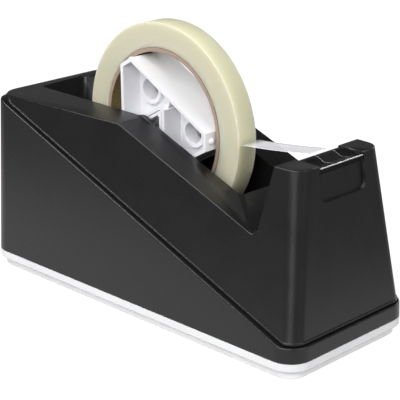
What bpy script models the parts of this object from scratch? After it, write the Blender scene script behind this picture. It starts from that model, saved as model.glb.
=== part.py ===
"""Weighted desk tape dispenser: two-part black case with a diagonal seam on a white base,
a tape roll on a lift-out three-cornered hub, and a steel cutter on the front tower."""

import math

import bmesh
import bpy
from mathutils import Matrix, Vector

# Overall frame: +X towards the cutter, +Z up, origin under the centre of the base.
GAP = 0.0003
REACH = 0.30
WELD = 0.000001
BODY_STEPS = 7

# Base
BASE_HALF_LENGTH = 0.1094
BASE_HALF_WIDTH = 0.0437
BASE_CORNER = 0.012
PAD_TOP = 0.0042
PAD_INSET = 0.0030
TRAY_LOW = PAD_TOP + GAP
TRAY_TOP = 0.0088
TRAY_WALL = 0.0030
TRAY_FLOOR = 0.0066
TRAY_EDGE = 0.0006

# Lower shell: the wrap under the diagonal seam
SHELL_LOW = TRAY_TOP + GAP
SHELL_HIGH = 0.0960
SHELL_FOOT = 0.0020
SHELL_ROUND = 0.0006
SHELL_WALL = 0.0017
SHELL_TOP_BACK = -0.1065
SHELL_TOP_FRONT = 0.1066
SHELL_TOP_HALF_WIDTH = 0.0411
SHELL_FLANGE = 0.0060
SHELL_FLANGE_TOP = 0.0112

# Seam between the two shells, seen from the side
SEAM_BACK_X = -0.0995
SEAM_BACK_Z = 0.0942
SEAM_FRONT_X = 0.1012
SEAM_FRONT_Z = 0.0170
SEAM_HALF_GAP = 0.0004
TONGUE_INSET = 0.0010
TONGUE_DROP = 0.0035
BEAD_PROUD = 0.0005
BEAD_HEIGHT = 0.0010
BEAD_ROUND = 0.0004
BEAD_LAP = 0.0002
LEDGE_HEIGHT = 0.0016
LEDGE_OVERLAP = 0.0005

# Upper housing
SIDE_HALF = 0.0356
SIDE_YAW = -0.050
SIDE_LEAN = -0.150
SIDE_LEVEL = 0.0894
SIDE_STATION = -0.0125
UPPER_LOW = 0.0100
UPPER_HIGH = 0.1000
UPPER_BACK_LOW = -0.1072
UPPER_BACK_HIGH = -0.1035
FRONT_TOP_X = 0.0987
FRONT_LEVEL = 0.0950
FRONT_LEAN = 0.111
UPPER_CORNER_BACK = 0.0110
UPPER_CORNER_FRONT = 0.0080
UPPER_WALL = 0.0024
UPPER_ROOF = 0.0030
RIM_Z = 0.0965
SLOPE_START_X = -0.0137
VALLEY_X = 0.0782
VALLEY_Z = 0.0617
VALLEY_ROUND = 0.0030
TOWER_BACK_X = 0.0839
TOWER_Z = 0.0958
TOWER_CAVITY_Z = 0.0880
EDGE_ROUND = 0.0008
EDGE_ANGLE = math.radians(40)

# Roll compartment
TUB_BACK = -0.0967
TUB_FRONT = 0.0531
TUB_HALF_BACK = 0.0151
TUB_HALF_FRONT = 0.0178
TUB_FLOOR = 0.0290
TUB_FLOOR_DRAFT = 0.0010
TUB_CORNER = 0.0030
TUB_WALL = 0.0022

# Axle and the saddles it lies in
ROLL_X = -0.0125
ROLL_Z = 0.0894
AXLE_RADIUS = 0.0030
AXLE_HALF = 0.0160
AXLE_CHAMFER = 0.0005
AXLE_STEPS = 48
SLOT_RADIUS = 0.0033
SLOT_HALF = AXLE_HALF + GAP
SADDLE_RADIUS = 0.0048
SADDLE_INNER_Y = 0.0136
SADDLE_OUTER_Y = 0.0172
SADDLE_TOP = 0.0930
LIP_X = -0.0139
LIP_RADIUS = 0.0080
LIP_INNER_Y = 0.0168
LIP_OUTER_Y = 0.0183
LIP_STEPS = 40

# One-inch hub sleeve
HUB_HALF = 0.0127
SLEEVE_FACE = 0.0065
SLEEVE_CORNER = 0.0118
SLEEVE_WALL = 0.0016
SLEEVE_WEB_HALF = 0.0050
AXLE_RUN = 0.0001
HUB_TURN = math.radians(1.1)

# Three-inch core adapter
ADAPTER_FACE = 0.0225
ADAPTER_CORNER = 0.0372
ADAPTER_WALL = 0.0019
ADAPTER_WEB_HALF = 0.0010
SOCKET_WALL = 0.0018
EYE_DISTANCE = 0.0200
EYE_RADIUS = 0.0056
EYE_RING = 0.0020
EYE_HALF = 0.0040
EYE_STEPS = 32
RIB_HALF_THICKNESS = 0.0008
RIB_HALF_LENGTH = 0.0090
NUB_RADIUS = 0.0020
NUB_Y = 0.0086
NUB_SINK = 0.0006
NUB_STEPS = 16

# Tape roll
CORE_INNER = 0.0381
CORE_OUTER = 0.0402
CORE_HALF = 0.00635
TAPE_INNER = CORE_OUTER + GAP
TAPE_OUTER = 0.0530
TAPE_HALF = 0.00625
ROUND_STEPS = 96
RING_CHAMFER = 0.0002

# Tape strip: side-view route from the roll's axis, ending on the cutter's top face
STRIP_THICKNESS = 0.00015
STRIP_ROUTE = ((TAPE_OUTER + GAP, 0.0018), (0.0645, 0.0034), (0.0810, 0.0052), (0.0965, 0.0068),
               (0.0995, 0.0070), (0.1015, 0.0068), (0.1040, 0.0058), (0.1060, 0.00495),
               (0.1076, 0.0052))

# Tower top: platform, cutter and its clamp
NOTCH_HALF = 0.0156
NOTCH_Z = 0.0912
PLATFORM_HALF = 0.0152
PLATFORM_LOW = NOTCH_Z + GAP
PLATFORM_FRONT = 0.0947
PLATFORM_ROUTE = ((0.1058, 0.0042), (0.1038, 0.0050), (0.1013, 0.0060), (0.0995, 0.0063),
                  (0.0980, 0.0060), (0.0966, 0.0052))
PLATFORM_LINE_Z = 0.0952
PLATFORM_LINE_WIDTH = 0.0007
PLATFORM_LINE_PITCH = 0.0034
PLATFORM_LINES = (2, 3, 4)
PLATFORM_LIP_Z = 0.0937
BLADE_HALF = 0.0152
BLADE_THICKNESS = 0.0005
BLADE_BACK = PLATFORM_FRONT + GAP
BLADE_BEND_Z = 0.0942
BLADE_ROOT = 0.0982
BLADE_ROOT_Z = 0.0945
BLADE_TIP = 0.0993
BLADE_TIP_Z = 0.0947
BLADE_TEETH = 24
CLAMP_BACK = BLADE_BACK + BLADE_THICKNESS + GAP
CLAMP_FRONT = 0.0976
CLAMP_TOP = 0.0933
CLAMP_ROUND = 0.0006
PANEL_HALF = 0.0163
PANEL_LOW = 0.0782
PANEL_DEPTH = 0.0015
PANEL_CORNER = 0.0040

# Ballast
BALLAST_BACK = -0.0860
BALLAST_FRONT = 0.0840
BALLAST_HALF_WIDTH = 0.0330
BALLAST_TOP = 0.0245
BALLAST_CORNER = 0.0050

# Screws: (x, y) of the case screws, then the platform screws
CASE_SCREWS = (("rear_left", -0.0945, -0.0310), ("rear_right", -0.0945, 0.0310),
               ("front_left", 0.0895, -0.0240), ("front_right", 0.0895, 0.0240))
POST_RADIUS = 0.0040
POST_LOW = 0.0094
POST_REAR_TOP = 0.0950
POST_FRONT_TOP = 0.0900
BOSS_RADIUS = 0.0050
BOSS_TOP = 0.0091
SCREW_RADIUS = 0.0015
SCREW_HEAD = 0.0030
SCREW_HEAD_LOW = 0.0047
SCREW_HEAD_TOP = 0.0066
SCREW_TIP = 0.0190
SCREW_FIT = 0.0003
SCREW_POINT = 0.0009
PLATFORM_SCREWS = (("platform_screw_left", -0.0090), ("platform_screw_right", 0.0090))
PLATFORM_SCREW_X = 0.0890
PLATFORM_SCREW_TIP = 0.0930
SCREW_STEPS = 24


def clear_scene():
    for item in list(bpy.data.objects):
        bpy.data.objects.remove(item, do_unlink=True)


def make_collection(name):
    group = bpy.data.collections.new(name)
    bpy.context.scene.collection.children.link(group)
    return group


def make_material(name, colour, roughness, metallic=0.0, alpha=1.0):
    mat = bpy.data.materials.new(name)
    mat.use_nodes = True
    shader = mat.node_tree.nodes["Principled BSDF"]
    shader.inputs["Base Color"].default_value = (*colour, 1.0)
    shader.inputs["Roughness"].default_value = roughness
    shader.inputs["Metallic"].default_value = metallic
    shader.inputs["Alpha"].default_value = alpha
    return mat


def add_object(name, bm, group, mat=None):
    bmesh.ops.recalc_face_normals(bm, faces=bm.faces)
    mesh = bpy.data.meshes.new(name)
    bm.to_mesh(mesh)
    bm.free()
    body = bpy.data.objects.new(name, mesh)
    group.objects.link(body)
    if mat is not None:
        mesh.materials.append(mat)
        mesh.set_sharp_from_angle(angle=math.radians(30))
    else:
        body.hide_render = True
        body.display_type = "WIRE"
    return body


def loft_bmesh(rings, bm=None):
    """Closed solid through rings of equal length, capped at both ends."""
    bm = bm or bmesh.new()
    levels = [[bm.verts.new(point) for point in ring] for ring in rings]
    count = len(levels[0])
    for low, high in zip(levels, levels[1:]):
        for i in range(count):
            j = (i + 1) % count
            bm.faces.new((low[i], low[j], high[j], high[i]))
    bm.faces.new(levels[0])
    bm.faces.new(levels[-1])
    return bm


def fillet(points, radii, steps):
    """Round the corners of a closed 2D outline."""
    out = []
    count = len(points)
    for i in range(count):
        corner = Vector(points[i])
        before = (Vector(points[i - 1]) - corner).normalized()
        after = (Vector(points[(i + 1) % count]) - corner).normalized()
        radius = radii[i]
        if radius <= 0.0:
            out.append(tuple(corner))
            continue
        half = before.angle(after) / 2.0
        centre = corner + (before + after).normalized() * radius / math.sin(half)
        start = corner + before * radius / math.tan(half) - centre
        sweep = start.angle_signed(corner + after * radius / math.tan(half) - centre)
        for step in range(steps + 1):
            turn = Matrix.Rotation(-sweep * step / steps, 2)
            out.append(tuple(centre + turn @ start))
    return out


def plan_outline(back, front, half_back, half_front, corner_back, corner_front):
    corners = [(back, -half_back), (front, -half_front), (front, half_front), (back, half_back)]
    radii = [corner_back, corner_front, corner_front, corner_back]
    return fillet(corners, radii, BODY_STEPS)


def at_height(outline, z):
    return [(x, y, z) for x, y in outline]


def flat_solid(name, outline, place, thickness, group, mat):
    """Filled 2D curve with a thickness, made a mesh so that it can be cut and joined."""
    curve = bpy.data.curves.new(name, "CURVE")
    curve.dimensions = "2D"
    curve.fill_mode = "BOTH"
    curve.extrude = thickness / 2
    spline = curve.splines.new("POLY")
    spline.points.add(len(outline) - 1)
    spline.use_cyclic_u = True
    for point, (x, y) in zip(spline.points, outline):
        point.co = (x, y, 0.0, 1.0)
    draft = bpy.data.objects.new(name, curve)
    bpy.context.scene.collection.objects.link(draft)
    bpy.context.view_layer.update()
    flat = bpy.data.meshes.new_from_object(draft.evaluated_get(bpy.context.evaluated_depsgraph_get()))
    bpy.data.objects.remove(draft, do_unlink=True)
    bm = bmesh.new()
    bm.from_mesh(flat)
    bpy.data.meshes.remove(flat)
    bmesh.ops.remove_doubles(bm, verts=bm.verts, dist=WELD)
    bm.transform(place)
    return add_object(name, bm, group, mat)


def prism_y(name, outline, low, high, group, mat=None):
    """Solid with an XZ outline, drawn along Y."""
    place = Matrix.Translation((0.0, (low + high) / 2, 0.0)) @ Matrix.Rotation(math.pi / 2, 4, "X")
    return flat_solid(name, outline, place, high - low, group, mat)


def prism_z(name, outline, low, high, group, mat=None):
    """Solid with an XY outline, drawn along Z."""
    place = Matrix.Translation((0.0, 0.0, (low + high) / 2))
    return flat_solid(name, outline, place, high - low, group, mat)


def soften(body, width):
    edge = body.modifiers.new("Edge", "BEVEL")
    edge.width = width
    edge.segments = 2
    edge.limit_method = "ANGLE"
    edge.angle_limit = EDGE_ANGLE


def combine(target, cutter, operation="DIFFERENCE"):
    step = target.modifiers.new(cutter.name, "BOOLEAN")
    step.operation = operation
    step.solver = "EXACT"
    step.object = cutter
    return step


def add_cylinder(bm, centre, radius, depth, axis="Z", steps=SCREW_STEPS):
    turn = Matrix.Rotation(math.pi / 2, 4, "X") if axis == "Y" else Matrix.Identity(4)
    place = Matrix.Translation(centre) @ turn
    bmesh.ops.create_cone(bm, cap_ends=True, segments=steps, radius1=radius, radius2=radius,
                          depth=depth, matrix=place)


def turned(name, profile, group, mat, steps=ROUND_STEPS):
    """Solid of revolution about the object's own Z axis."""
    bm = bmesh.new()
    points = [bm.verts.new((radius, 0.0, height)) for radius, height in profile]
    for first, second in zip(points, points[1:]):
        bm.edges.new((first, second))
    if profile[0][0] > 0.0:
        bm.edges.new((points[-1], points[0]))
    mesh = bpy.data.meshes.new(name)
    bm.to_mesh(mesh)
    bm.free()
    body = bpy.data.objects.new(name, mesh)
    group.objects.link(body)
    mesh.materials.append(mat)
    spin = body.modifiers.new("Turn", "SCREW")
    spin.axis = "Z"
    spin.angle = math.tau
    spin.steps = steps
    spin.render_steps = steps
    spin.use_merge_vertices = True
    spin.merge_threshold = 0.00001
    return body


def line_cross(first, second):
    """Crossing of two 2D lines, each given by two points."""
    (ax, az), (bx, bz) = first
    (cx, cz), (dx, dz) = second
    det = (bx - ax) * (dz - cz) - (bz - az) * (dx - cx)
    t = ((cx - ax) * (dz - cz) - (cz - az) * (dx - cx)) / det
    return ax + t * (bx - ax), az + t * (bz - az)


def polar(distance, angle):
    return distance * math.cos(angle), distance * math.sin(angle)


def roll_point(x, z):
    """Side-view point given from the roll's axis."""
    return ROLL_X + x, ROLL_Z + z


def side_half(x, z):
    return SIDE_HALF + SIDE_YAW * (x - SIDE_STATION) + SIDE_LEAN * (z - SIDE_LEVEL)


def front_x(z):
    return FRONT_TOP_X + FRONT_LEAN * (FRONT_LEVEL - z)


def back_x(z):
    t = (z - UPPER_LOW) / (UPPER_HIGH - UPPER_LOW)
    return UPPER_BACK_LOW + t * (UPPER_BACK_HIGH - UPPER_BACK_LOW)


def upper_ring(z, inset):
    back = back_x(z) + inset
    front = front_x(z) - inset
    half_back = side_half(back, z) - inset
    half_front = side_half(front, z) - inset
    corner_back = UPPER_CORNER_BACK - inset
    corner_front = UPPER_CORNER_FRONT - inset
    return at_height(plan_outline(back, front, half_back, half_front, corner_back, corner_front), z)


def upper_block(name, inset, group, mat=None):
    rings = [upper_ring(UPPER_LOW, inset), upper_ring(UPPER_HIGH, inset)]
    return add_object(name, loft_bmesh(rings), group, mat)


def above_profile(drop, tower_top):
    """Outline of the space above the rim, slope and tower, lowered by drop."""
    slope = ((SLOPE_START_X, RIM_Z), (VALLEY_X, VALLEY_Z))
    fall = drop * math.hypot(VALLEY_X - SLOPE_START_X, RIM_Z - VALLEY_Z) / (VALLEY_X - SLOPE_START_X)
    slope = tuple((x, z - fall) for x, z in slope)
    rise = ((VALLEY_X, VALLEY_Z), (TOWER_BACK_X, TOWER_Z))
    push = drop * math.hypot(TOWER_BACK_X - VALLEY_X, TOWER_Z - VALLEY_Z) / (TOWER_Z - VALLEY_Z)
    rise = tuple((x + push, z) for x, z in rise)
    rim = ((-REACH, RIM_Z - drop), (REACH, RIM_Z - drop))
    top = ((-REACH, tower_top), (REACH, tower_top))
    corners = [(-REACH, RIM_Z - drop), line_cross(rim, slope), line_cross(slope, rise),
               line_cross(rise, top), (REACH, tower_top), (REACH, REACH), (-REACH, REACH)]
    return fillet(corners, [0.0, 0.0, VALLEY_ROUND, 0.0, 0.0, 0.0, 0.0], BODY_STEPS)


def seam_line(shift):
    return [(-REACH, SEAM_BACK_Z + shift), (SEAM_BACK_X, SEAM_BACK_Z + shift),
            (SEAM_FRONT_X, SEAM_FRONT_Z + shift), (REACH, SEAM_FRONT_Z + shift)]


def below_seam(name, shift, group):
    outline = seam_line(shift) + [(REACH, -REACH), (-REACH, -REACH)]
    return prism_y(name, outline, -REACH, REACH, group)


def above_seam(name, shift, group):
    outline = seam_line(shift) + [(REACH, REACH), (-REACH, REACH)]
    return prism_y(name, outline, -REACH, REACH, group)


def tub_ring(z, grow):
    draft = TUB_FLOOR_DRAFT * (1.0 - (z - TUB_FLOOR) / (RIM_Z - TUB_FLOOR))
    back = TUB_BACK + draft - grow
    front = TUB_FRONT - draft + grow
    half_back = TUB_HALF_BACK - draft + grow
    half_front = TUB_HALF_FRONT - draft + grow
    corner = TUB_CORNER + grow
    return at_height(plan_outline(back, front, half_back, half_front, corner, corner), z)


def make_tub(name, grow, floor, top, group):
    rings = [tub_ring(floor, grow), tub_ring(top, grow)]
    return add_object(name, loft_bmesh(rings), group)


def slot_outline(radius, top):
    """Half circle round the underside of the axle, with straight sides up to top."""
    points = []
    for step in range(BODY_STEPS * 2 + 1):
        points.append(roll_point(*polar(radius, math.pi + math.pi * step / (BODY_STEPS * 2))))
    return points + [(ROLL_X + radius, top), (ROLL_X - radius, top)]


def make_upper_housing(group, cutters, mat):
    body = upper_block("upper_housing", 0.0, group, mat)
    above = prism_y("cut_above", above_profile(0.0, TOWER_Z), -REACH, REACH, cutters)
    combine(body, above)
    combine(body, below_seam("cut_below_seam", SEAM_HALF_GAP + BEAD_LAP, cutters))
    soften(body, EDGE_ROUND)
    combine(body, make_bead(cutters), "UNION")
    tongue = upper_block("add_tongue", TONGUE_INSET, cutters)
    combine(tongue, below_seam("cut_below_tongue", -SEAM_HALF_GAP - TONGUE_DROP, cutters))
    combine(tongue, above_seam("cut_above_tongue", SEAM_HALF_GAP + TONGUE_DROP, cutters))
    lowered = prism_y("cut_lowered", above_profile(EDGE_ROUND * 2, TOWER_Z - EDGE_ROUND * 2),
                      -REACH, REACH, cutters)
    combine(tongue, lowered)
    combine(body, tongue, "UNION")
    cavity = upper_block("cut_cavity", UPPER_WALL, cutters)
    roof = prism_y("cut_roof", above_profile(UPPER_ROOF, TOWER_CAVITY_Z), -REACH, REACH, cutters)
    combine(cavity, roof)
    combine(body, cavity)
    tub = make_tub("add_tub", TUB_WALL, TUB_FLOOR - TUB_WALL, UPPER_HIGH, cutters)
    combine(tub, lowered)
    combine(body, tub, "UNION")
    combine(body, make_posts(cutters), "UNION")
    combine(body, make_lips(cutters), "UNION")
    combine(body, make_tub("cut_tub", 0.0, TUB_FLOOR, UPPER_HIGH + UPPER_ROOF, cutters))
    for tool in make_saddles(cutters):
        combine(body, tool, "UNION")
    slot = prism_y("cut_slot", slot_outline(SLOT_RADIUS, UPPER_HIGH), -SLOT_HALF, SLOT_HALF, cutters)
    combine(body, slot)
    combine(body, make_tower_notch(cutters))
    combine(body, make_front_panel(cutters))
    combine(body, make_screw_holes(cutters))
    return body


def make_bead(cutters):
    """Slab just above the seam whose rounded edge stands proud of the housing all round."""
    bead = upper_block("add_bead", -BEAD_PROUD, cutters)
    combine(bead, below_seam("cut_below_bead", SEAM_HALF_GAP, cutters))
    combine(bead, above_seam("cut_above_bead", SEAM_HALF_GAP + BEAD_HEIGHT, cutters))
    soften(bead, BEAD_ROUND)
    return bead


def make_posts(cutters):
    bm = bmesh.new()
    for _, x, y in CASE_SCREWS:
        top = POST_REAR_TOP if x < 0.0 else POST_FRONT_TOP
        centre = (x, y, (POST_LOW + top) / 2)
        add_cylinder(bm, centre, POST_RADIUS, top - POST_LOW)
    return add_object("add_posts", bm, cutters)


def make_lips(cutters):
    """Round lips on the rim that close the outer ends of the axle's saddles."""
    bm = bmesh.new()
    for side in (-1.0, 1.0):
        centre = (LIP_X, side * (LIP_INNER_Y + LIP_OUTER_Y) / 2, ROLL_Z)
        add_cylinder(bm, centre, LIP_RADIUS, LIP_OUTER_Y - LIP_INNER_Y, "Y", LIP_STEPS)
    return add_object("add_lips", bm, cutters)


def make_saddles(cutters):
    """Brackets on the compartment's walls that the axle's ends lie in."""
    outline = slot_outline(SADDLE_RADIUS, SADDLE_TOP)
    return [prism_y("add_saddle_left", outline, -SADDLE_OUTER_Y, -SADDLE_INNER_Y, cutters),
            prism_y("add_saddle_right", outline, SADDLE_INNER_Y, SADDLE_OUTER_Y, cutters)]


def make_tower_notch(cutters):
    outline = [(VALLEY_X - TUB_WALL, NOTCH_Z), (REACH, NOTCH_Z), (REACH, REACH),
               (VALLEY_X - TUB_WALL, REACH)]
    return prism_y("cut_tower_notch", outline, -NOTCH_HALF, NOTCH_HALF, cutters)


def make_front_panel(cutters):
    """Shallow recess under the cutter, parallel to the leaning front."""
    top = NOTCH_Z + TUB_WALL
    corners = [(-PANEL_HALF, PANEL_LOW), (PANEL_HALF, PANEL_LOW), (PANEL_HALF, top), (-PANEL_HALF, top)]
    outline = fillet(corners, [PANEL_CORNER, PANEL_CORNER, 0.0, 0.0], BODY_STEPS)
    deep = [(front_x(z) - PANEL_DEPTH, y, z) for y, z in outline]
    out = [(front_x(z) + PANEL_DEPTH, y, z) for y, z in outline]
    return add_object("cut_front_panel", loft_bmesh([deep, out]), cutters)


def make_screw_holes(cutters):
    bm = bmesh.new()
    for _, x, y in CASE_SCREWS:
        depth = SCREW_TIP + SCREW_FIT - POST_LOW + GAP
        centre = (x, y, POST_LOW - GAP + depth / 2)
        add_cylinder(bm, centre, SCREW_RADIUS + SCREW_FIT, depth)
    for _, y in PLATFORM_SCREWS:
        add_cylinder(bm, (PLATFORM_SCREW_X, y, NOTCH_Z - UPPER_ROOF / 2),
                     SCREW_RADIUS + SCREW_FIT, UPPER_ROOF * 2)
    return add_object("cut_screw_holes", bm, cutters)


def shell_rings(low, high, inset):
    rings = []
    for z in (low, high):
        t = (z - SHELL_LOW) / (SHELL_HIGH - SHELL_LOW)
        back = -BASE_HALF_LENGTH + t * (SHELL_TOP_BACK + BASE_HALF_LENGTH) + inset
        front = BASE_HALF_LENGTH + t * (SHELL_TOP_FRONT - BASE_HALF_LENGTH) - inset
        half = BASE_HALF_WIDTH + t * (SHELL_TOP_HALF_WIDTH - BASE_HALF_WIDTH) - inset
        corner = BASE_CORNER - inset
        rings.append(at_height(plan_outline(back, front, half, half, corner, corner), z))
    return rings


def make_lower_shell(group, cutters, mat):
    outside = loft_bmesh(shell_rings(SHELL_LOW - SHELL_FOOT, SHELL_HIGH, 0.0))
    body = add_object("lower_shell", outside, group, mat)
    combine(body, above_seam("cut_above_shell", -SEAM_HALF_GAP, cutters))
    soften(body, SHELL_ROUND)
    below = plan_outline(-REACH, REACH, REACH, REACH, 0.0, 0.0)
    combine(body, prism_z("cut_below_shell", below, 0.0, SHELL_LOW, cutters))
    ledge_low = -SEAM_HALF_GAP - LEDGE_HEIGHT
    inner_rings = loft_bmesh(shell_rings(SHELL_FLANGE_TOP, UPPER_HIGH, SHELL_WALL))
    inner = add_object("cut_shell", inner_rings, cutters)
    combine(inner, above_seam("cut_above_ledge", ledge_low, cutters))
    combine(body, inner)
    opening = loft_bmesh(shell_rings(0.0, UPPER_HIGH, SHELL_FLANGE))
    combine(body, add_object("cut_shell_opening", opening, cutters))
    neck = upper_block("cut_ledge", TONGUE_INSET - GAP, cutters)
    combine(neck, below_seam("cut_below_ledge", ledge_low - LEDGE_OVERLAP, cutters))
    combine(body, neck)
    return body


def base_ring(z, inset):
    length = BASE_HALF_LENGTH - inset
    width = BASE_HALF_WIDTH - inset
    corner = BASE_CORNER - inset
    return at_height(plan_outline(-length, length, width, width, corner, corner), z)


def make_base_tray(group, cutters, mat):
    rings = [base_ring(TRAY_LOW, TRAY_EDGE), base_ring(TRAY_LOW + TRAY_EDGE, 0.0), base_ring(TRAY_TOP, 0.0)]
    body = add_object("base_tray", loft_bmesh(rings), group, mat)
    pan = loft_bmesh([base_ring(TRAY_FLOOR, TRAY_WALL), base_ring(TRAY_TOP + GAP, TRAY_WALL)])
    combine(body, add_object("cut_pan", pan, cutters))
    bosses = bmesh.new()
    shanks = bmesh.new()
    heads = bmesh.new()
    for _, x, y in CASE_SCREWS:
        low = TRAY_LOW + GAP
        add_cylinder(bosses, (x, y, (low + BOSS_TOP) / 2), BOSS_RADIUS, BOSS_TOP - low)
        add_cylinder(shanks, (x, y, BOSS_TOP), SCREW_RADIUS + SCREW_FIT, BOSS_TOP * 2)
        add_cylinder(heads, (x, y, SCREW_HEAD_TOP + SCREW_FIT - PAD_TOP / 2),
                     SCREW_HEAD + SCREW_FIT, PAD_TOP)
    combine(body, add_object("add_bosses", bosses, cutters), "UNION")
    combine(body, add_object("cut_tray_shanks", shanks, cutters))
    combine(body, add_object("cut_tray_heads", heads, cutters))
    return body


def make_foot_pad(group, mat):
    rings = [base_ring(0.0, PAD_INSET), base_ring(PAD_TOP, PAD_INSET)]
    return add_object("foot_pad", loft_bmesh(rings), group, mat)


def make_ballast(group, mat):
    outline = plan_outline(BALLAST_BACK, BALLAST_FRONT, BALLAST_HALF_WIDTH, BALLAST_HALF_WIDTH,
                           BALLAST_CORNER, BALLAST_CORNER)
    return prism_z("ballast_weight", outline, TRAY_FLOOR + GAP, BALLAST_TOP, group, mat)


def make_screw(name, x, y, head_low, head_top, tip, group, mat):
    profile = [(0.0, tip), (SCREW_POINT, tip), (SCREW_RADIUS, tip - SCREW_RADIUS),
               (SCREW_RADIUS, head_top), (SCREW_HEAD, head_top), (SCREW_HEAD, head_low),
               (0.0, head_low)]
    body = turned(name, profile, group, mat, SCREW_STEPS)
    body.location = (x, y, 0.0)
    return body


def make_screws(group, mat):
    for place, x, y in CASE_SCREWS:
        make_screw("case_screw_" + place, x, y, SCREW_HEAD_LOW, SCREW_HEAD_TOP, SCREW_TIP, group, mat)
    head_top = TOWER_CAVITY_Z - GAP
    for name, y in PLATFORM_SCREWS:
        head_low = head_top - (SCREW_HEAD_TOP - SCREW_HEAD_LOW)
        make_screw(name, PLATFORM_SCREW_X, y, head_low, head_top, PLATFORM_SCREW_TIP, group, mat)


def ring_profile(inner, outer, half):
    cut = RING_CHAMFER
    return [(inner + cut, half), (outer - cut, half), (outer, half - cut), (outer, cut - half),
            (outer - cut, -half), (inner + cut, -half), (inner, cut - half), (inner, half - cut)]


def make_ring(name, inner, outer, half, empty, group, mat):
    body = turned(name, ring_profile(inner, outer, half), group, mat)
    body.rotation_euler = (math.pi / 2, 0.0, 0.0)
    body.parent = empty
    return body


def make_axle(empty, group, mat):
    cut = AXLE_CHAMFER
    profile = [(0.0, AXLE_HALF), (AXLE_RADIUS - cut, AXLE_HALF), (AXLE_RADIUS, AXLE_HALF - cut),
               (AXLE_RADIUS, cut - AXLE_HALF), (AXLE_RADIUS - cut, -AXLE_HALF), (0.0, -AXLE_HALF)]
    body = turned("axle", profile, group, mat, AXLE_STEPS)
    body.rotation_euler = (math.pi / 2, 0.0, 0.0)
    body.parent = empty
    return body


def corner_outline(face, corner, turn):
    """Three-sided outline with its corners cut off, about the origin in XZ."""
    half = (2.0 * face - corner) * math.tan(math.pi / 6)
    points = []
    for side in range(3):
        angle = turn + math.tau * side / 3
        along = Vector((math.cos(angle), math.sin(angle)))
        across = Vector((-along.y, along.x))
        points.append(tuple(along * corner - across * half))
        points.append(tuple(along * corner + across * half))
    return points


def make_core_hub(empty, group, cutters, mat):
    outer = corner_outline(SLEEVE_FACE, SLEEVE_CORNER, HUB_TURN + math.pi / 3)
    body = prism_y("core_hub", outer, -HUB_HALF, HUB_HALF, group, mat)
    inner = corner_outline(SLEEVE_FACE - SLEEVE_WALL, SLEEVE_CORNER - SLEEVE_WALL * 2,
                           HUB_TURN + math.pi / 3)
    for side in (-1.0, 1.0):
        ends = sorted((side * SLEEVE_WEB_HALF, side * (HUB_HALF + GAP)))
        cut = prism_y("cut_sleeve_end", inner, ends[0], ends[1], cutters)
        cut.parent = empty
        combine(body, cut)
    bm = bmesh.new()
    add_cylinder(bm, (0.0, 0.0, 0.0), AXLE_RADIUS + AXLE_RUN, HUB_HALF * 3, "Y", AXLE_STEPS)
    bore = add_object("cut_bore", bm, cutters)
    bore.parent = empty
    combine(body, bore)
    body.parent = empty
    return body


def make_ribs(cutters):
    """Short ribs from the socket's corners to the middle of each long wall."""
    bm = bmesh.new()
    start = SLEEVE_CORNER + GAP
    end = ADAPTER_FACE - ADAPTER_WALL / 2
    for side in range(3):
        angle = HUB_TURN + math.pi / 3 + math.tau * side / 3
        turn = Matrix.Rotation(-angle, 4, "Y")
        shift = Matrix.Translation(((start + end) / 2, 0.0, 0.0))
        size = Matrix.Diagonal((end - start, RIB_HALF_LENGTH * 2, RIB_HALF_THICKNESS * 2, 1.0))
        bmesh.ops.create_cube(bm, size=1.0, matrix=turn @ shift @ size)
    return add_object("add_ribs", bm, cutters)


def make_eyes(name, radius, half, cutters):
    bm = bmesh.new()
    for side in range(3):
        x, z = polar(EYE_DISTANCE, HUB_TURN + math.tau * side / 3)
        add_cylinder(bm, (x, 0.0, z), radius, half * 2, "Y", EYE_STEPS)
    return add_object(name, bm, cutters)


def make_nubs(cutters):
    """Small round catches that keep a narrow core from sliding off."""
    bm = bmesh.new()
    for side in range(3):
        x, z = polar(ADAPTER_CORNER - NUB_SINK, HUB_TURN + math.tau * side / 3)
        for y in (-NUB_Y, NUB_Y):
            place = Matrix.Translation((x, y, z))
            bmesh.ops.create_uvsphere(bm, u_segments=NUB_STEPS, v_segments=NUB_STEPS // 2,
                                      radius=NUB_RADIUS, matrix=place)
    return add_object("add_nubs", bm, cutters)


def make_core_adapter(empty, group, cutters, mat):
    outer = corner_outline(ADAPTER_FACE, ADAPTER_CORNER, HUB_TURN)
    body = prism_y("core_adapter", outer, -HUB_HALF, HUB_HALF, group, mat)
    inner = corner_outline(ADAPTER_FACE - ADAPTER_WALL, ADAPTER_CORNER - ADAPTER_WALL, HUB_TURN)
    tools = []
    for side in (-1.0, 1.0):
        ends = sorted((side * ADAPTER_WEB_HALF, side * (HUB_HALF + GAP)))
        tools.append((prism_y("cut_adapter_side", inner, ends[0], ends[1], cutters), "DIFFERENCE"))
    turn = HUB_TURN + math.pi / 3
    fit = SLEEVE_FACE + GAP
    fit_corner = SLEEVE_CORNER + GAP
    socket = corner_outline(fit + SOCKET_WALL, fit_corner + SOCKET_WALL, turn)
    tools.append((prism_y("add_socket", socket, -HUB_HALF, HUB_HALF, cutters), "UNION"))
    tools.append((make_ribs(cutters), "UNION"))
    tools.append((make_eyes("add_eye_rings", EYE_RADIUS + EYE_RING, EYE_HALF, cutters), "UNION"))
    tools.append((make_eyes("cut_eyes", EYE_RADIUS, EYE_HALF * 2, cutters), "DIFFERENCE"))
    opening = corner_outline(fit, fit_corner, turn)
    tools.append((prism_y("cut_socket", opening, -HUB_HALF * 2, HUB_HALF * 2, cutters), "DIFFERENCE"))
    tools.append((make_nubs(cutters), "UNION"))
    for tool, operation in tools:
        tool.parent = empty
        combine(body, tool, operation)
    body.parent = empty
    return body


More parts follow.
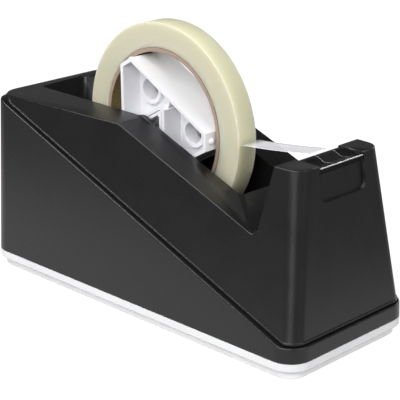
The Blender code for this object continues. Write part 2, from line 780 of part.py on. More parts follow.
def make_tape_strip(group, mat):
    """Free end of the tape, from the roll over the platform to the cutter's edge."""
    path = [roll_point(x, z) for x, z in STRIP_ROUTE]
    path.append((BLADE_ROOT, BLADE_ROOT_Z + BLADE_THICKNESS))
    path.append((BLADE_TIP, BLADE_TIP_Z + BLADE_THICKNESS))
    outline = path + [(x, z + STRIP_THICKNESS) for x, z in reversed(path)]
    return prism_y("tape_strip", outline, -TAPE_HALF, TAPE_HALF, group, mat)


def make_platform(group, cutters, mat):
    """Ridged rest for the tape's end, with a shallow trough before the cutter."""
    back = VALLEY_X + (PLATFORM_LOW - VALLEY_Z) * (TOWER_BACK_X - VALLEY_X) / (TOWER_Z - VALLEY_Z)
    outline = [(back, PLATFORM_LOW), (PLATFORM_FRONT, PLATFORM_LOW), (PLATFORM_FRONT, PLATFORM_LIP_Z)]
    outline.extend(roll_point(x, z) for x, z in PLATFORM_ROUTE)
    body = prism_y("tape_platform", outline, -PLATFORM_HALF, PLATFORM_HALF, group, mat)
    bm = bmesh.new()
    for side in (-1.0, 1.0):
        for step in PLATFORM_LINES:
            place = Matrix.Translation((0.0, side * PLATFORM_LINE_PITCH * step, PLATFORM_LINE_Z))
            size = Matrix.Diagonal((REACH, PLATFORM_LINE_WIDTH, PLATFORM_LINE_WIDTH / 2, 1.0))
            bmesh.ops.create_cube(bm, size=1.0, matrix=place @ size)
    combine(body, add_object("cut_platform_lines", bm, cutters))
    holes = bmesh.new()
    for _, y in PLATFORM_SCREWS:
        add_cylinder(holes, (PLATFORM_SCREW_X, y, PLATFORM_LOW),
                     SCREW_RADIUS + SCREW_FIT, (PLATFORM_SCREW_TIP + SCREW_FIT - PLATFORM_LOW) * 2)
    combine(body, add_object("cut_platform_holes", holes, cutters))
    return body


def make_blade(group, mat):
    """Bent steel strip with a saw-toothed front edge."""
    bm = bmesh.new()
    count = BLADE_TEETH * 2
    profile_back = [(BLADE_BACK, PLATFORM_LOW), (BLADE_BACK + BLADE_THICKNESS, PLATFORM_LOW)]
    rings = []
    for step in range(count + 1):
        y = -BLADE_HALF + 2.0 * BLADE_HALF * step / count
        tip = BLADE_TIP if step % 2 else BLADE_ROOT
        rise = BLADE_TIP_Z if step % 2 else BLADE_ROOT_Z
        profile = profile_back + [(BLADE_BACK + BLADE_THICKNESS, BLADE_BEND_Z - BLADE_THICKNESS),
                                  (tip, rise - BLADE_THICKNESS), (tip, rise),
                                  (BLADE_BACK, BLADE_BEND_Z)]
        rings.append([(x, y, z) for x, z in profile])
    loft_bmesh(rings, bm)
    return add_object("cutter_blade", bm, group, mat)


def make_blade_clamp(group, mat):
    corners = [(CLAMP_BACK, PLATFORM_LOW), (CLAMP_FRONT, PLATFORM_LOW), (CLAMP_FRONT, CLAMP_TOP),
               (CLAMP_BACK, CLAMP_TOP)]
    outline = fillet(corners, [0.0, 0.0, CLAMP_ROUND, 0.0], BODY_STEPS)
    return prism_y("blade_clamp", outline, -BLADE_HALF, BLADE_HALF, group, mat)


def main():
    clear_scene()
    group = make_collection("tape_dispenser")
    cutters = make_collection("cutters")
    black = make_material("case_black", (0.018, 0.019, 0.020), 0.38)
    wrap = make_material("shell_black", (0.030, 0.031, 0.033), 0.34)
    white = make_material("base_white", (0.80, 0.80, 0.81), 0.45)
    foam = make_material("foam_white", (0.74, 0.74, 0.75), 0.85)
    hub_white = make_material("hub_white", (0.78, 0.78, 0.80), 0.40)
    gloss = make_material("platform_black", (0.010, 0.010, 0.010), 0.15)
    steel = make_material("blade_steel", (0.62, 0.62, 0.64), 0.28, 1.0)
    clamp = make_material("clamp_black", (0.015, 0.013, 0.014), 0.25)
    axle_steel = make_material("axle_steel", (0.55, 0.55, 0.57), 0.30, 1.0)
    zinc = make_material("screw_zinc", (0.60, 0.60, 0.62), 0.35, 1.0)
    iron = make_material("ballast_iron", (0.12, 0.12, 0.12), 0.65, 1.0)
    paper = make_material("core_paper", (0.42, 0.28, 0.19), 0.90)
    tape = make_material("tape_cream", (0.72, 0.68, 0.46), 0.30)
    film = make_material("tape_film", (0.82, 0.82, 0.80), 0.15, 0.0, 0.35)

    make_foot_pad(group, foam)
    make_base_tray(group, cutters, white)
    make_ballast(group, iron)
    make_lower_shell(group, cutters, wrap)
    make_upper_housing(group, cutters, black)
    make_screws(group, zinc)
    make_platform(group, cutters, gloss)
    make_blade(group, steel)
    make_blade_clamp(group, clamp)
    make_tape_strip(group, film)

    axis = bpy.data.objects.new("roll_axis", None)
    group.objects.link(axis)
    axis.location = (ROLL_X, 0.0, ROLL_Z)
    make_axle(axis, group, axle_steel)
    make_core_hub(axis, group, cutters, hub_white)
    make_core_adapter(axis, group, cutters, hub_white)
    make_ring("paper_core", CORE_INNER, CORE_OUTER, CORE_HALF, axis, group, paper)
    make_ring("tape_roll", TAPE_INNER, TAPE_OUTER, TAPE_HALF, axis, group, tape)
    bpy.context.view_layer.update()


main()
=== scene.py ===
"""Looks of the desk tape dispenser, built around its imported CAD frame."""

import math
import random

import bmesh
import bpy
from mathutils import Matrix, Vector


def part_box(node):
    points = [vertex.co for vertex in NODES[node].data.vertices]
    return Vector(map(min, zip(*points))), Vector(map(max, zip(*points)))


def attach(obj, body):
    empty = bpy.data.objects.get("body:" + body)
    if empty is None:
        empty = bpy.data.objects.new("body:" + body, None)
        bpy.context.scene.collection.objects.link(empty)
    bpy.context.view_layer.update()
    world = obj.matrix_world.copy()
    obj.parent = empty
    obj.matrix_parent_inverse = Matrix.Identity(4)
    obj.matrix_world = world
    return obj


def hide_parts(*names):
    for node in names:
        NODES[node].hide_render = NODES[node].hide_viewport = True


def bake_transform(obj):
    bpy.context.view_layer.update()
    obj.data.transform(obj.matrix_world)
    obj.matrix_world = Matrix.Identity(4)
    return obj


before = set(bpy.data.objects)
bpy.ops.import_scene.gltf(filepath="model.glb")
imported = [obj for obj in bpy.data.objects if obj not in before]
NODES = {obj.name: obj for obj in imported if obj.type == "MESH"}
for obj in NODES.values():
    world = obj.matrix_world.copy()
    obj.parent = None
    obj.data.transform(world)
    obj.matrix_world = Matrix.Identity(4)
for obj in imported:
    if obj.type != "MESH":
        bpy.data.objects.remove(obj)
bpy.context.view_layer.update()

# Lengths are in metres unless a name says otherwise, and angles in degrees.

# Camera at the photograph's viewing angle
CAMERA_AT = Vector((0.47336, -0.47309, 0.28752))
CAMERA_AIM = Vector((0.00847, 0.0, 0.05369))
LENS_MM = 125.0
SENSOR_MM = 36.0
CLIP_NEAR = 0.01
CLIP_FAR = 60.0

# Floor: half its width, its height, and the glow that it casts, from GLOW_NEAR at distance FLOOR_NEAR
# to GLOW_FAR at distance FLOOR_FAR. For that distance, X is scaled by the squeeze and then shifted.
FLOOR_REACH = 14.0
FLOOR_SQUARES = 8
FLOOR_Z = -0.0002
FLOOR_SQUEEZE = 0.6
FLOOR_SHIFT = 0.04
FLOOR_NEAR = 0.13
FLOOR_FAR = 0.24
GLOW_NEAR = 0.66
GLOW_FAR = 0.15

# Sky: brightness against the sine of the height above the horizon
SKY = ((0.0, 0.26), (0.30, 0.17), (0.60, 0.03), (0.80, 0.08), (1.0, 0.12))

# Square soft lamps: name, place, width, watts
LAMP_AIM = Vector((0.0, 0.0, 0.07))
LAMPS = (("front_lamp", (0.42, -0.92, 0.66), 0.70, 12.0),
         ("edge_lamp", (-0.40, -0.50, 1.00), 0.50, 9.0),
         ("side_lamp", (0.95, 0.10, 0.62), 0.60, 4.5),
         ("back_lamp", (0.10, 1.15, 0.40), 0.60, 2.5))

# Edge roundness by shader, and what the shader counts as a flat surface and as a full edge
CASE_ROUND = 0.0005
FINE_ROUND = 0.0002
BEVEL_SAMPLES = 6
FLAT_DOT = 0.99
EDGE_DOT = 0.80

# The values between which a noise texture mostly stays
NOISE_LOW = 0.3
NOISE_HIGH = 0.7

# Black case: two tones and an edge colour, part wear and part painted highlight, for each shell, and
# the finish both share
UPPER_BLACKS = ((0.0044, 0.0045, 0.0050), (0.0060, 0.0061, 0.0068), (0.020, 0.020, 0.019))
LOWER_BLACKS = ((0.0070, 0.0072, 0.0079), (0.0090, 0.0092, 0.0100), (0.035, 0.035, 0.034))
CASE_GRAIN = 0.00003
CASE_ROUGH = 0.30
CASE_SPECULAR = 0.50

# Meshes made from CAD nodes: distance under which points are welded, angle under which faces are
# joined, angles from which edges stay sharp, and the widths of modelled bevels
WELD = 0.000002
FLAT_ANGLE = 0.5
SHARP_ANGLE = 30.0
CASE_SHARP_ANGLE = 50.0
ADAPTER_BEVEL = 0.00025
SLEEVE_BEVEL = 0.00015

# Blade: X from which its teeth are painted bright as a highlight, and the length over which that
# painted shine sets in
BLADE_TIP_X = 0.0983
BLADE_TIP_FADE = 0.0003

# Foam pad: corner radius in plan, and (inset, height) up its side
PAD_CORNER = 0.009
PAD_CORNER_STEPS = 12
PAD_PROFILE = ((0.0003, 0.0), (0.0, 0.0004), (0.0, 0.0014), (0.0, 0.0028), (0.0002, 0.0037),
               (0.0007, 0.0042))

# Board core: distance from its middle at which the bore's look turns into that of the cut end
CORE_END = (0.00615, 0.00625)

# Wound tape: its bore, the softness of its rims and its mesh, then the radii between which a face's
# look turns into the tread's, and the distances from the middle over which the tread's colour fades
ROLL_AXIS = Vector((-0.0125, 0.0, 0.0894))
WIND_INNER = 0.0403
WIND_SOFT = 0.00025
WIND_STEPS = 224
WIND_RINGS = 46
WIND_RIPPLE = 0.000035
WIND_SHARP_ANGLE = 50.0
TREAD_START = (0.05285, 0.05297)
TREAD_FADE = (0.004, 0.0062)

# Free tape: its section and mesh, and the X between which its middle hangs a little lower
TAPE_WIDTH = 0.0125
TAPE_FILM = 0.00006
TAPE_COLUMNS = 10
TAPE_SHARP_ANGLE = 60.0
TAPE_CUP = 0.00008
CUP_FROM = 0.044
CUP_TO = 0.080

# Its painted white glare fades in along X where it leaves the roll and out where it lands on the
# platform, and the painted glare on its edges fades in with the distance from its middle.
FILM_LEAVES = (0.0405, 0.0490)
FILM_LANDS = (0.0832, 0.0855)
FILM_EDGE = (0.00595, 0.00615)

# Route of the free tape as (x, z) from the roll's axis: an arc on the tread, a sharp peel, a slightly
# sagging span and the platform. The last two points, at the cutter, are in the frame's own X and Z.
ARC_RADIUS = 0.05306
ARC_START = 14.0
ARC_STEP = 1.5
ARC_POINTS = 9
PEEL = ((0.05335, 0.00105), (0.0537, 0.00135), (0.0542, 0.00175), (0.0550, 0.00205))
SPAN_END = (0.0958, 0.00675)
SPAN_SAG = 0.00045
SPAN_POINTS = 10
ON_PLATFORM = ((0.0980, 0.00693), (0.0995, 0.00702), (0.1005, 0.00700), (0.1015, 0.00683),
               (0.1028, 0.00640), (0.1040, 0.00586), (0.1050, 0.00535), (0.1060, 0.00502),
               (0.1068, 0.00505), (0.1076, 0.00527))
AT_CUTTER = ((0.0982, 0.09502), (0.0990, 0.09520))

RANDOM = random.Random(11)


# ---------------------------------------------------------------- node helpers

class Paint:
    """A node material under construction."""

    def __init__(self, name):
        self.mat = bpy.data.materials.new(name)
        self.mat.use_nodes = True
        self.tree = self.mat.node_tree
        self.shader = self.tree.nodes["Principled BSDF"]
        self.place = self.add("ShaderNodeTexCoord").outputs["Object"]

    def add(self, kind, **settings):
        node = self.tree.nodes.new(kind)
        for key, value in settings.items():
            setattr(node, key, value)
        return node

    def link(self, source, target):
        self.tree.links.new(source, target)

    def feed(self, socket, value):
        """Set a socket to a number or a colour, or link another node's output to it."""
        if isinstance(value, tuple):
            socket.default_value = (*value, 1.0)
        elif isinstance(value, (int, float)):
            socket.default_value = value
        else:
            self.link(value, socket)

    def scaled(self, scale, shift=(0.0, 0.0, 0.0)):
        """The object's own coordinates, scaled and then shifted."""
        node = self.add("ShaderNodeMapping")
        node.inputs["Location"].default_value = shift
        node.inputs["Scale"].default_value = scale
        self.link(self.place, node.inputs["Vector"])
        return node.outputs["Vector"]

    def part(self, axis):
        node = self.add("ShaderNodeSeparateXYZ")
        self.link(self.place, node.inputs["Vector"])
        return node.outputs[axis]

    def noise(self, scale, detail=3.0, rough=0.5, vector=None):
        node = self.add("ShaderNodeTexNoise")
        node.inputs["Scale"].default_value = scale
        node.inputs["Detail"].default_value = detail
        node.inputs["Roughness"].default_value = rough
        self.link(vector or self.place, node.inputs["Vector"])
        return node.outputs["Fac"]

    def rings(self, radius, scale, detail):
        """Noise that changes only with the radius."""
        node = self.add("ShaderNodeTexNoise", noise_dimensions="1D")
        node.inputs["Scale"].default_value = scale
        node.inputs["Detail"].default_value = detail
        self.link(radius, node.inputs["W"])
        return node.outputs["Fac"]

    def cells(self, scale):
        node = self.add("ShaderNodeTexVoronoi")
        node.inputs["Scale"].default_value = scale
        self.link(self.place, node.inputs["Vector"])
        return node.outputs["Distance"]

    def spread(self, value, low, high, to_low, to_high):
        """Map low..high to to_low..to_high, and stop at both ends."""
        node = self.add("ShaderNodeMapRange")
        names = ("From Min", "From Max", "To Min", "To Max")
        for name, number in zip(names, (low, high, to_low, to_high)):
            node.inputs[name].default_value = number
        self.link(value, node.inputs["Value"])
        return node.outputs["Result"]

    def vary(self, noise, to_low=0.0, to_high=1.0):
        """Spread a noise's usual values over to_low..to_high."""
        return self.spread(noise, NOISE_LOW, NOISE_HIGH, to_low, to_high)

    def math(self, operation, *values):
        node = self.add("ShaderNodeMath", operation=operation)
        for socket, value in zip(node.inputs, values):
            self.feed(socket, value)
        return node.outputs["Value"]

    def mix(self, factor, first, second):
        """Mix two colours. A Mix node keeps its colour sockets at 6, 7 and output 2."""
        node = self.add("ShaderNodeMix", data_type="RGBA")
        for index, value in ((0, factor), (6, first), (7, second)):
            self.feed(node.inputs[index], value)
        return node.outputs[2]

    def rounded(self, radius):
        """The surface's normal, rounded over edges within radius."""
        node = self.add("ShaderNodeBevel", samples=BEVEL_SAMPLES)
        node.inputs["Radius"].default_value = radius
        return node.outputs["Normal"]

    def edge(self, radius):
        """0 on flat surface, rising to 1 where an edge turns within radius."""
        node = self.add("ShaderNodeVectorMath", operation="DOT_PRODUCT")
        self.link(self.rounded(radius), node.inputs[0])
        self.link(self.add("ShaderNodeNewGeometry").outputs["Normal"], node.inputs[1])
        return self.spread(node.outputs["Value"], FLAT_DOT, EDGE_DOT, 0.0, 1.0)

    def bump(self, heights, round_radius=0.0):
        """heights: (value, distance) pairs, laid over each other."""
        normal = self.rounded(round_radius) if round_radius else None
        for value, distance in heights:
            node = self.add("ShaderNodeBump")
            node.inputs["Distance"].default_value = distance
            self.link(value, node.inputs["Height"])
            if normal is not None:
                self.link(normal, node.inputs["Normal"])
            normal = node.outputs["Normal"]
        self.link(normal, self.shader.inputs["Normal"])

    def set(self, **values):
        names = {"metal": "Metallic", "specular": "Specular IOR Level",
                 "subsurface": "Subsurface Weight", "subsurface_scale": "Subsurface Scale"}
        for key, value in values.items():
            self.shader.inputs[names[key]].default_value = value

    def colour(self, value):
        self.feed(self.shader.inputs["Base Color"], value)

    def rough(self, value):
        self.feed(self.shader.inputs["Roughness"], value)


# ---------------------------------------------------------------- materials

def moulded_plastic(name, dark, light, wear_and_highlight):
    """Black moulded plastic: fine spark texture, faint clouding, and paler edges, partly rubbed wear
    and partly a painted highlight.
    """
    p = Paint(name)
    cloud = p.noise(38.0, 4.0, 0.6)
    scuff = p.noise(420.0, 6.0, 0.75)
    speckle = p.noise(3200.0, 2.0, 0.6)
    pebble = p.noise(1300.0, 3.0, 0.6)
    wave = p.noise(60.0, 2.0, 0.4)
    # Paler edge colour: partly rubbed wear, partly a painted highlight along the rounded edges.
    edge = p.math("MULTIPLY", p.edge(CASE_ROUND * 1.6), p.spread(scuff, 0.35, 0.65, 0.35, 1.0))
    p.colour(p.mix(edge, p.mix(p.vary(cloud), dark, light), wear_and_highlight))
    base = p.vary(cloud, CASE_ROUGH - 0.04, CASE_ROUGH + 0.05)
    p.rough(p.math("ADD", base, p.vary(speckle, -0.05, 0.05)))
    p.set(specular=CASE_SPECULAR)
    p.bump([(speckle, CASE_GRAIN), (pebble, CASE_GRAIN * 2.5), (wave, 0.00004)], CASE_ROUND)
    return p.mat


def pale_plastic(name, tone, shade, rough, round_radius):
    """White moulded plastic with soft clouding, fine grain and a touch of grey at its edges."""
    p = Paint(name)
    cloud = p.noise(55.0, 5.0, 0.6)
    speckle = p.noise(2600.0, 2.0, 0.5)
    smudge = p.spread(p.noise(300.0, 5.0), 0.45, 0.7, 0.0, 0.25)
    mixed = p.mix(p.spread(cloud, 0.3, 0.75, 0.0, 1.0), tone, shade)
    dirt = p.math("MULTIPLY", p.edge(round_radius * 2.0), smudge)
    p.colour(p.mix(dirt, mixed, (0.55, 0.54, 0.55)))
    p.rough(p.vary(speckle, rough - 0.06, rough + 0.08))
    p.set(subsurface=0.06, subsurface_scale=0.0008)
    p.bump([(speckle, 0.000008), (p.noise(90.0, 2.0), 0.00004)], round_radius)
    return p.mat


def foam(name):
    """White closed-cell foam: small round pores with painted shade in them, and a soft matt surface.
    """
    p = Paint(name)
    pores = p.cells(1500.0)
    cloud = p.noise(70.0, 4.0)
    tone = p.mix(p.vary(cloud), (0.71, 0.71, 0.72), (0.76, 0.76, 0.77))
    # Painted shade in the pores: darker towards each pore's middle.
    p.colour(p.mix(p.spread(pores, 0.0, 0.35, 0.3, 0.0), tone, (0.60, 0.60, 0.62)))
    p.rough(p.vary(cloud, 0.86, 0.96))
    p.bump([(pores, 0.00005), (p.cells(600.0), 0.00006)])
    return p.mat


def brushed_metal(name, tone, rough, axis_scale, scratch):
    """Metal with fine lines drawn along one axis."""
    p = Paint(name)
    lines = p.noise(1.0, 4.0, 0.6, p.scaled(axis_scale))
    spots = p.noise(240.0, 5.0, 0.65)
    p.colour(p.mix(p.spread(spots, 0.35, 0.75, 0.0, 0.5), tone, tuple(c * 0.78 for c in tone)))
    p.rough(p.math("ADD", p.vary(lines, rough - 0.06, rough + 0.08),
                   p.spread(spots, 0.4, 0.7, 0.0, 0.08)))
    p.set(metal=1.0)
    p.bump([(lines, scratch)], FINE_ROUND)
    return p.mat


def steel_with_painted_shine(name, dark, bright):
    """Steel painted dark as a dark reflection, bright only along its saw teeth as a painted highlight,
    with a few pale worn spots.
    """
    p = Paint(name)
    spots = p.noise(240.0, 5.0, 0.65)
    lines = p.noise(1.0, 4.0, 0.6, p.scaled((4000.0, 90.0, 4000.0)))
    # Painted highlight: bright only beyond BLADE_TIP_X; elsewhere the dark colour is a painted dark
    # reflection.
    tip_highlight = p.spread(p.part("X"), BLADE_TIP_X, BLADE_TIP_X + BLADE_TIP_FADE, 0.0, 1.0)
    wear_and_highlight = p.math("MAXIMUM", tip_highlight, p.spread(spots, 0.60, 0.80, 0.0, 0.08))
    p.colour(p.mix(wear_and_highlight, dark, bright))
    p.rough(p.vary(lines, 0.24, 0.40))
    p.set(metal=1.0)
    p.bump([(lines, 0.000008)], FINE_ROUND)
    return p.mat


def cast_iron(name):
    """Rough grey casting with pits and a little rust."""
    p = Paint(name)
    cloud = p.noise(90.0, 6.0, 0.7)
    p.colour(p.mix(p.spread(cloud, 0.35, 0.7, 0.0, 1.0), (0.10, 0.095, 0.09), (0.17, 0.11, 0.07)))
    p.rough(p.vary(cloud, 0.55, 0.8))
    p.set(metal=0.8)
    p.bump([(cloud, 0.0002), (p.cells(700.0), 0.0001)], CASE_ROUND)
    return p.mat


def glossy_black(name, rough):
    """Smooth black plastic with fine rub marks along the tape's travel."""
    p = Paint(name)
    rub = p.noise(1.0, 3.0, 0.6, p.scaled((260.0, 2600.0, 260.0)))
    cloud = p.noise(120.0, 4.0)
    p.colour(p.mix(p.vary(cloud), (0.006, 0.006, 0.006), (0.011, 0.010, 0.010)))
    p.rough(p.spread(rub, 0.35, 0.7, rough, rough + 0.16))
    p.set(specular=0.15)
    p.bump([(rub, 0.000006)], FINE_ROUND)
    return p.mat


def kraft_core(name):
    """Wound brown board: pale grained cut ends, darker bore with fibres."""
    p = Paint(name)
    fibre = p.noise(1.0, 5.0, 0.7, p.scaled((900.0, 260.0, 900.0)))
    grain = p.noise(1900.0, 3.0, 0.7)
    bore = p.mix(p.vary(fibre), (0.15, 0.11, 0.035), (0.26, 0.19, 0.07))
    cut = p.mix(p.vary(grain), (0.28, 0.20, 0.15), (0.38, 0.29, 0.23))
    at_end = p.spread(p.math("ABSOLUTE", p.part("Y")), *CORE_END, 0.0, 1.0)
    p.colour(p.mix(at_end, bore, cut))
    p.rough(p.vary(grain, 0.8, 0.95))
    p.bump([(fibre, 0.00006), (grain, 0.00003)])
    return p.mat


def wound_tape(name):
    """Clear film wound on itself: cream faces with fine layer lines, and a greener tread."""
    p = Paint(name)
    across = p.math("ABSOLUTE", p.part("Y"))
    squares = [p.math("POWER", p.part(axis), 2.0) for axis in "XZ"]
    radius = p.math("SQRT", p.math("ADD", *squares))
    layers = p.rings(radius, 2600.0, 4.0)
    bands = p.rings(radius, 420.0, 2.0)
    cloud = p.noise(38.0, 3.0, 0.5)
    cream = p.mix(p.vary(cloud), (0.59, 0.56, 0.42), (0.56, 0.555, 0.43))
    lined = p.mix(p.spread(layers, 0.35, 0.75, 0.0, 0.30), cream, (0.50, 0.47, 0.35))
    face = p.mix(p.spread(bands, 0.4, 0.7, 0.0, 0.22), lined, (0.62, 0.58, 0.46))
    tread = p.mix(p.spread(across, *TREAD_FADE, 0.0, 1.0), (0.61, 0.60, 0.42), (0.62, 0.60, 0.46))
    p.colour(p.mix(p.spread(radius, *TREAD_START, 0.0, 1.0), face, tread))
    p.rough(p.vary(layers, 0.30, 0.46))
    p.shader.inputs["Subsurface Radius"].default_value = (1.0, 0.92, 0.72)
    p.set(subsurface=0.8, subsurface_scale=0.009, specular=0.30)
    p.bump([(layers, 0.00003), (cloud, 0.00006)])
    return p.mat


def clear_film(name):
    """Thin clear tape: painted white glare where it hangs free, nearly unseen on the platform, with
    painted glare on its edges.
    """
    p = Paint(name)
    along = p.part("X")
    across = p.math("ABSOLUTE", p.part("Y"))
    streak = p.noise(1.0, 3.0, 0.6, p.scaled((60.0, 1500.0, 60.0)))
    free = p.math("MULTIPLY", p.spread(along, *FILM_LEAVES, 0.0, 1.0),
                  p.spread(along, *FILM_LANDS, 1.0, 0.0))
    # Painted glare: white, partly opaque film where the tape hangs free, and brighter along its edges.
    painted_glare = p.math("MULTIPLY", p.spread(free, 0.0, 1.0, 0.004, 0.70), p.vary(streak, 0.94, 1.06))
    edge = p.math("MULTIPLY", p.spread(across, *FILM_EDGE, 0.0, 1.0),
                  p.spread(free, 0.0, 1.0, 0.30, 0.9))
    p.colour(p.mix(edge, (0.84, 0.84, 0.87), (0.95, 0.95, 0.96)))
    p.link(p.math("MAXIMUM", painted_glare, edge), p.shader.inputs["Alpha"])
    p.rough(p.vary(streak, 0.10, 0.22))
    p.bump([(streak, 0.00001)])
    return p.mat


# ---------------------------------------------------------------- mesh helpers

def mesh_from(name, bm, mat):
    mesh = bpy.data.meshes.new(name)
    bm.to_mesh(mesh)
    bm.free()
    mesh.materials.append(mat)
    return mesh


def put(name, data):
    item = bpy.data.objects.new(name, data)
    bpy.context.scene.collection.objects.link(item)
    return item


def put_aimed(name, data, place, aim):
    """A lamp or camera that looks from place to aim."""
    item = put(name, data)
    item.location = place
    item.rotation_mode = "QUATERNION"
    item.rotation_quaternion = (aim - Vector(place)).to_track_quat("-Z", "Y")
    return item


def finish_mesh(name, bm, mat, body, sharp_angle=35.0, at=(0.0, 0.0, 0.0)):
    bmesh.ops.recalc_face_normals(bm, faces=bm.faces)
    mesh = mesh_from(name, bm, mat)
    mesh.polygons.foreach_set("use_smooth", [True] * len(mesh.polygons))
    mesh.set_sharp_from_angle(angle=math.radians(sharp_angle))
    piece = put(name, mesh)
    piece.location = at
    if body:
        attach(piece, body)
    return piece


def restyle(node, name, mat, body, bevel=0.0, angle=SHARP_ANGLE):
    """A welded, smooth-shaded stand-in made from the CAD node's own shape."""
    bm = bmesh.new()
    bm.from_mesh(NODES[node].data)
    bmesh.ops.remove_doubles(bm, verts=bm.verts, dist=WELD)
    bmesh.ops.dissolve_limit(bm, angle_limit=math.radians(FLAT_ANGLE), verts=bm.verts, edges=bm.edges)
    piece = finish_mesh(name, bm, mat, body, angle)
    if bevel:
        step = piece.modifiers.new("Soft edges", "BEVEL")
        step.width = bevel
        step.segments = 2
        step.limit_method = "ANGLE"
        step.angle_limit = math.radians(angle)
        step.harden_normals = True
    else:
        piece.modifiers.new("Even shading", "WEIGHTED_NORMAL").keep_sharp = True
    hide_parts(node)


def assign(node, mat):
    data = NODES[node].data
    data.materials.clear()
    data.materials.append(mat)


def loop_faces(bm, first, second):
    """A band of quads between two closed loops of equal length."""
    for i in range(len(first)):
        j = (i + 1) % len(first)
        bm.faces.new((first[i], first[j], second[j], second[i]))


def rounded_plan(half_x, half_y, corner, steps):
    points = []
    for quarter, (sx, sy) in enumerate(((1, 1), (-1, 1), (-1, -1), (1, -1))):
        for step in range(steps + 1):
            a = math.pi / 2 * (quarter + step / steps)
            points.append((sx * (half_x - corner) + corner * math.cos(a),
                           sy * (half_y - corner) + corner * math.sin(a)))
    return points


# ---------------------------------------------------------------- pieces

def make_foam_pad(mat):
    """Slightly bulging foam sheet under the base, flat where it stands."""
    low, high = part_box("foot_pad")
    half_x = (high.x - low.x) / 2
    half_y = (high.y - low.y) / 2
    bm = bmesh.new()
    loops = []
    for inset, z in PAD_PROFILE:
        plan = rounded_plan(half_x - inset, half_y - inset, PAD_CORNER - inset, PAD_CORNER_STEPS)
        loops.append([bm.verts.new((x, y, z)) for x, y in plan])
    for first, second in zip(loops, loops[1:]):
        loop_faces(bm, first, second)
    bm.faces.new(loops[0])
    bm.faces.new(loops[-1])
    piece = finish_mesh("foam_foot_pad", bm, mat, "case")
    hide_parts("foot_pad")


def make_winding(mat):
    """The wound tape, with layers that stand a little uneven on both faces."""
    low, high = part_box("tape_roll")
    outer = (high.x - low.x) / 2
    half = (high.y - low.y) / 2
    inner, soft = WIND_INNER, WIND_SOFT
    face = []
    for ring in range(WIND_RINGS + 1):
        t = ring / WIND_RINGS
        radius = inner + soft + t * (outer - inner - 2 * soft)
        face.append((radius, half - WIND_RIPPLE * RANDOM.random()))
    rim = [(outer - soft * 0.3, half - soft * 0.3), (outer, half - soft)]
    near = [(inner, half - soft)] + face + rim
    far = [(radius, -y) for radius, y in reversed(near)]
    bm = bmesh.new()
    loops = []
    for radius, y in near + far:
        loops.append([bm.verts.new((radius * math.cos(math.tau * i / WIND_STEPS), y,
                                    radius * math.sin(math.tau * i / WIND_STEPS)))
                      for i in range(WIND_STEPS)])
    for first, second in zip(loops, loops[1:] + loops[:1]):
        loop_faces(bm, first, second)
    piece = finish_mesh("wound_tape", bm, mat, "roll", WIND_SHARP_ANGLE, ROLL_AXIS)
    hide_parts("tape_roll")


def strip_path():
    """Centre line of the free tape in the frame's X and Z."""
    points = []
    for step in range(ARC_POINTS):
        angle = math.radians(ARC_START - ARC_STEP * step)
        points.append((ARC_RADIUS * math.cos(angle), ARC_RADIUS * math.sin(angle)))
    points += PEEL
    start_x, start_z = PEEL[-1]
    end_x, end_z = SPAN_END
    for step in range(1, SPAN_POINTS + 1):
        sag = SPAN_SAG * math.sin(math.pi * step / SPAN_POINTS)
        points.append((start_x + (end_x - start_x) * step / SPAN_POINTS,
                       start_z + (end_z - start_z) * step / SPAN_POINTS - sag))
    points += ON_PLATFORM
    return [(ROLL_AXIS.x + x, ROLL_AXIS.z + z) for x, z in points] + list(AT_CUTTER)


def make_strip(mat):
    """The free tape: a thin film along its route, a little lower in its middle where it hangs free."""
    path = strip_path()
    half = TAPE_WIDTH / 2
    bm = bmesh.new()
    rows = []
    for x, z in path:
        cup = TAPE_CUP if CUP_FROM < x < CUP_TO else 0.0
        row = []
        for column in range(TAPE_COLUMNS + 1):
            t = 2.0 * column / TAPE_COLUMNS - 1.0
            row.append(bm.verts.new((x, t * half, z + cup * (t * t - 1.0))))
        rows.append(row)
    for first, second in zip(rows, rows[1:]):
        for i in range(TAPE_COLUMNS):
            bm.faces.new((first[i], first[i + 1], second[i + 1], second[i]))
    mesh_piece = finish_mesh("free_tape", bm, mat, None, TAPE_SHARP_ANGLE)
    wall = mesh_piece.modifiers.new("Film", "SOLIDIFY")
    wall.thickness = TAPE_FILM
    wall.offset = 0.0
    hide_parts("tape_strip")
    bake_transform(mesh_piece)


# ---------------------------------------------------------------- stage

def make_floor():
    """White sheet that looks evenly lit, but lights the object mostly from close by."""
    p = Paint("studio_floor")
    cloud = p.noise(3.0, 3.0)
    p.colour(p.mix(cloud, (0.11, 0.11, 0.11), (0.13, 0.13, 0.13)))
    p.rough(p.vary(cloud, 0.85, 0.95))
    away = p.add("ShaderNodeVectorMath", operation="LENGTH")
    p.link(p.scaled((FLOOR_SQUEEZE, 1.0, 0.0), (FLOOR_SHIFT, 0.0, 0.0)), away.inputs[0])
    cast = p.spread(away.outputs["Value"], FLOOR_NEAR, FLOOR_FAR, GLOW_NEAR, GLOW_FAR)
    seen = p.add("ShaderNodeLightPath").outputs["Is Camera Ray"]
    p.link(p.math("MAXIMUM", seen, cast), p.shader.inputs["Emission Strength"])
    p.shader.inputs["Emission Color"].default_value = (1.0, 1.0, 1.0, 1.0)
    p.set(specular=0.0)
    bm = bmesh.new()
    bmesh.ops.create_grid(bm, x_segments=FLOOR_SQUARES, y_segments=FLOOR_SQUARES, size=FLOOR_REACH)
    floor = put("floor", mesh_from("floor", bm, p.mat))
    floor.location.z = FLOOR_Z


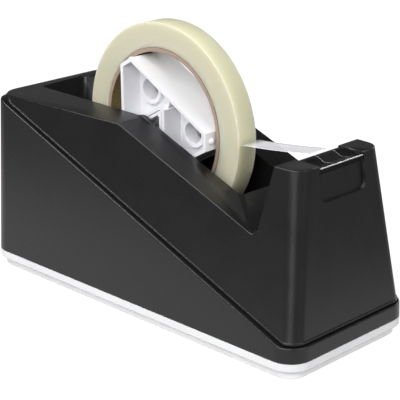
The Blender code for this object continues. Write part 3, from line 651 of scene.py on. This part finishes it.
def make_sky():
    world = bpy.data.worlds.new("studio")
    bpy.context.scene.world = world
    world.use_nodes = True
    tree = world.node_tree
    direction = tree.nodes.new("ShaderNodeTexCoord").outputs["Generated"]
    parts = tree.nodes.new("ShaderNodeSeparateXYZ")
    ramp = tree.nodes.new("ShaderNodeValToRGB")
    tree.links.new(direction, parts.inputs["Vector"])
    tree.links.new(parts.outputs["Z"], ramp.inputs["Fac"])
    tree.links.new(ramp.outputs["Color"], tree.nodes["Background"].inputs["Color"])
    stops = ramp.color_ramp.elements
    for height, _ in SKY[1:-1]:
        stops.new(height)
    for stop, (height, level) in zip(stops, SKY):
        stop.position = height
        stop.color = (level, level, level, 1.0)


def make_lamps():
    for name, place, width, watts in LAMPS:
        data = bpy.data.lights.new(name, "AREA")
        data.shape = "SQUARE"
        data.size = width
        data.energy = watts
        put_aimed(name, data, place, LAMP_AIM)


def make_camera():
    data = bpy.data.cameras.new("camera")
    data.lens = LENS_MM
    data.sensor_width = SENSOR_MM
    data.clip_start = CLIP_NEAR
    data.clip_end = CLIP_FAR
    bpy.context.scene.camera = put_aimed("camera", data, CAMERA_AT, CAMERA_AIM)


def main():
    make_camera()
    make_floor()
    make_sky()
    make_lamps()
    bpy.context.scene.view_settings.view_transform = "Standard"

    upper = moulded_plastic("upper_case_plastic", *UPPER_BLACKS)
    lower = moulded_plastic("lower_case_plastic", *LOWER_BLACKS)
    tray = pale_plastic("base_plastic", (0.72, 0.72, 0.73), (0.68, 0.68, 0.69), 0.42, CASE_ROUND)
    hub = pale_plastic("hub_plastic", (0.82, 0.82, 0.84), (0.78, 0.78, 0.81), 0.36, FINE_ROUND)
    gloss = glossy_black("platform_plastic", 0.14)
    axle = brushed_metal("axle_metal", (0.58, 0.58, 0.60), 0.30, (300.0, 60.0, 3000.0), 0.000006)
    zinc = brushed_metal("screw_metal", (0.60, 0.60, 0.63), 0.34, (900.0, 900.0, 200.0), 0.00001)

    restyle("upper_housing", "housing_cover", upper, "case", angle=CASE_SHARP_ANGLE)
    restyle("lower_shell", "shell_wrap", lower, "case", angle=CASE_SHARP_ANGLE)
    restyle("base_tray", "white_tray", tray, "case")
    restyle("core_adapter", "three_cornered_adapter", hub, "roll", ADAPTER_BEVEL)
    restyle("core_hub", "inner_sleeve", hub, "roll", SLEEVE_BEVEL)
    restyle("tape_platform", "ridged_platform", gloss, "case")
    restyle("axle", "axle_pin", axle, "axle_carrier")
    restyle("paper_core", "board_core", kraft_core("core_board"), "roll")
    make_foam_pad(foam("pad_foam"))
    make_winding(wound_tape("wound_film"))
    make_strip(clear_film("free_film"))
    # Blade colours: a painted dark reflection, and a painted highlight on the teeth.
    assign("cutter_blade", steel_with_painted_shine("blade_metal", (0.022, 0.021, 0.022), (0.78, 0.78, 0.80)))
    assign("blade_clamp", glossy_black("clamp_plastic", 0.24))
    assign("ballast_weight", cast_iron("ballast_metal"))
    for name in NODES:
        if "screw" in name:
            assign(name, zinc)


main()
bpy.context.view_layer.update()
